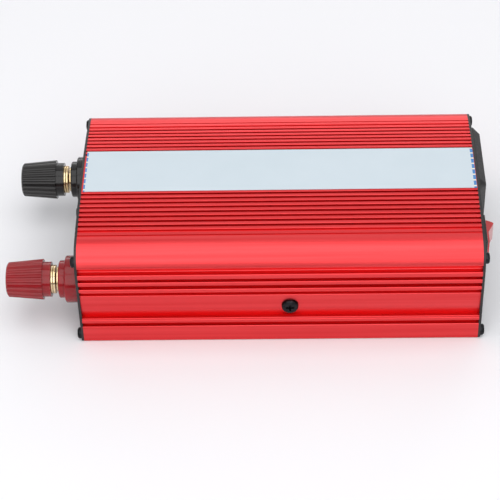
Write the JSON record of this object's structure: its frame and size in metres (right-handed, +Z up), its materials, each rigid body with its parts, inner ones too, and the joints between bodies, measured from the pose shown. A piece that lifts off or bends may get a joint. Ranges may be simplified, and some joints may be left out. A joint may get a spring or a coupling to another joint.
{
  "type": "power inverter",
  "caption": "Small DC to AC power inverter: ribbed red aluminium case with black end plates, screw-down binding posts, rear fan, AC outlet, charging port and rocker switch.",
  "frame": {"origin": "middle of the flat underside of the case, halfway along the extrusions", "axes": "+X along the case from the binding posts to the outlet end, +Z up, +Y across the case towards the black post"},
  "size_m": [0.2465, 0.1194, 0.0618],
  "materials": {
    "ac_socket": "moulded black, satin",
    "black_cable": "silicone sleeve",
    "black_captive_washer": "turned",
    "black_knob": "moulded, glossy",
    "black_knob_insert": "turned",
    "black_post_base": "moulded, glossy",
    "black_post_stud": "turned",
    "blade_fuses": "tinted clear",
    "bulk_capacitor": "sleeved",
    "choke_core": "coated ferrite",
    "choke_winding": "enamelled copper",
    "circuit_board": "green laminate",
    "clamp_bars": "zinc",
    "control_chips": "moulded",
    "fan_frame": "moulded",
    "fan_nuts": "zinc",
    "fan_rotor": "moulded",
    "fan_screws": "black zinc",
    "fan_stator": "enamelled copper",
    "fault_lamp": "tinted clear",
    "filter_capacitor": "yellow case",
    "front_board": "green laminate",
    "front_board_screws": "zinc",
    "front_board_spacers": "turned",
    "front_plate": "black, fine satin",
    "front_plate_screws": "black zinc",
    "fuse_clips": "tinned",
    "input_capacitors": "sleeved",
    "insulation_strips": "grey silicone",
    "label": "plain pale sticker, satin",
    "low_voltage_wires": "black sleeve",
    "lower_shell": "red anodised, satin",
    "post_insulators": "moulded",
    "post_nuts": "plain",
    "power_lamp": "tinted clear",
    "power_transistors": "moulded",
    "rear_plate": "black, fine satin",
    "rear_plate_screws": "black zinc",
    "red_cable": "silicone sleeve",
    "red_captive_washer": "turned",
    "red_knob": "moulded, glossy",
    "red_knob_insert": "turned",
    "red_post_base": "moulded, glossy",
    "red_post_stud": "turned",
    "ring_lugs": "tinned",
    "rocker": "glossy red",
    "side_screws": "black zinc",
    "socket_contacts": "stamped",
    "socket_rear_cover": "moulded",
    "socket_wires": "brown sleeve",
    "switch_housing": "moulded black",
    "switch_terminals": "tinned",
    "switch_wires": "red sleeve",
    "transformer_bobbin": "moulded",
    "transformer_core": "ferrite",
    "transformer_winding": "taped",
    "upper_shell": "red anodised, satin",
    "usb_shell": "plated sheet",
    "usb_tongue": "white"
  },
  "bodies": {
    "case": {"ac_socket": "ac_socket", "black_cable": "black_cable", "black_post_base": "black_post_base", "black_post_stud": "black_post_stud", "blade_fuses": "blade_fuses", "bulk_capacitor": "bulk_capacitor", "choke_core": "choke_core", "choke_winding": "choke_winding", "circuit_board": "circuit_board", "clamp_bars": "clamp_bars", "control_chips": "control_chips", "fan_frame": "fan_frame", "fan_nuts": "fan_nuts", "fan_screws": "fan_screws", "fan_stator": "fan_stator", "fault_lamp": "fault_lamp", "filter_capacitor": "filter_capacitor", "front_board": "front_board", "front_board_screws": "front_board_screws", "front_board_spacers": "front_board_spacers", "front_plate": "front_plate", "front_plate_screws": "front_plate_screws", "fuse_clips": "fuse_clips", "input_capacitors": "input_capacitors", "insulation_strips": "insulation_strips", "label": "label", "low_voltage_wires": "low_voltage_wires", "lower_shell": "lower_shell", "post_insulators": "post_insulators", "post_nuts": "post_nuts", "power_lamp": "power_lamp", "power_transistors": "power_transistors", "rear_plate": "rear_plate", "rear_plate_screws": "rear_plate_screws", "red_cable": "red_cable", "red_post_base": "red_post_base", "red_post_stud": "red_post_stud", "ring_lugs": "ring_lugs", "side_screws": "side_screws", "socket_contacts": "socket_contacts", "socket_rear_cover": "socket_rear_cover", "socket_wires": "socket_wires", "switch_housing": "switch_housing", "switch_terminals": "switch_terminals", "switch_wires": "switch_wires", "transformer_bobbin": "transformer_bobbin", "transformer_core": "transformer_core", "transformer_winding": "transformer_winding", "upper_shell": "upper_shell", "usb_shell": "usb_shell", "usb_tongue": "usb_tongue"},
    "black_clamp_washer": {"black_captive_washer": "black_captive_washer"},
    "black_clamp_knob": {"black_knob": "black_knob", "black_knob_insert": "black_knob_insert"},
    "red_clamp_washer": {"red_captive_washer": "red_captive_washer"},
    "red_clamp_knob": {"red_knob": "red_knob", "red_knob_insert": "red_knob_insert"},
    "rocker": {"rocker": "rocker"},
    "fan": {"fan_rotor": "fan_rotor"}
  },
  "joints": [
    {"name": "black_knob_travel", "type": "slide", "parent": "case", "child": "black_clamp_washer", "axis": [-1, 0, 0], "range_m": [-0.0004, 0.005]},
    {"name": "black_knob_turn", "type": "hinge", "parent": "black_clamp_washer", "child": "black_clamp_knob", "pos_m": [-0.12, 0.0395, 0.025], "axis": [-1, 0, 0], "range_deg": [-144, 1800]},
    {"name": "red_knob_travel", "type": "slide", "parent": "case", "child": "red_clamp_washer", "axis": [-1, 0, 0], "range_m": [-0.0004, 0.005]},
    {"name": "red_knob_turn", "type": "hinge", "parent": "red_clamp_washer", "child": "red_clamp_knob", "pos_m": [-0.12, -0.0395, 0.025], "axis": [-1, 0, 0], "range_deg": [-144, 1800]},
    {"name": "rocker_tilt", "type": "hinge", "parent": "case", "child": "rocker", "pos_m": [0.1016, -0.033, 0.0438], "axis": [0, 0, 1], "range_deg": [0, 25]},
    {"name": "fan_spin", "type": "hinge", "parent": "case", "child": "fan", "pos_m": [-0.095, 0, 0.033], "axis": [1, 0, 0], "continuous": true}
  ],
  "couplings": [
    {"joint": "black_knob_travel", "follows": "black_knob_turn", "m_per_rad": 0.00015915},
    {"joint": "red_knob_travel", "follows": "red_knob_turn", "m_per_rad": 0.00015915}
  ]
}
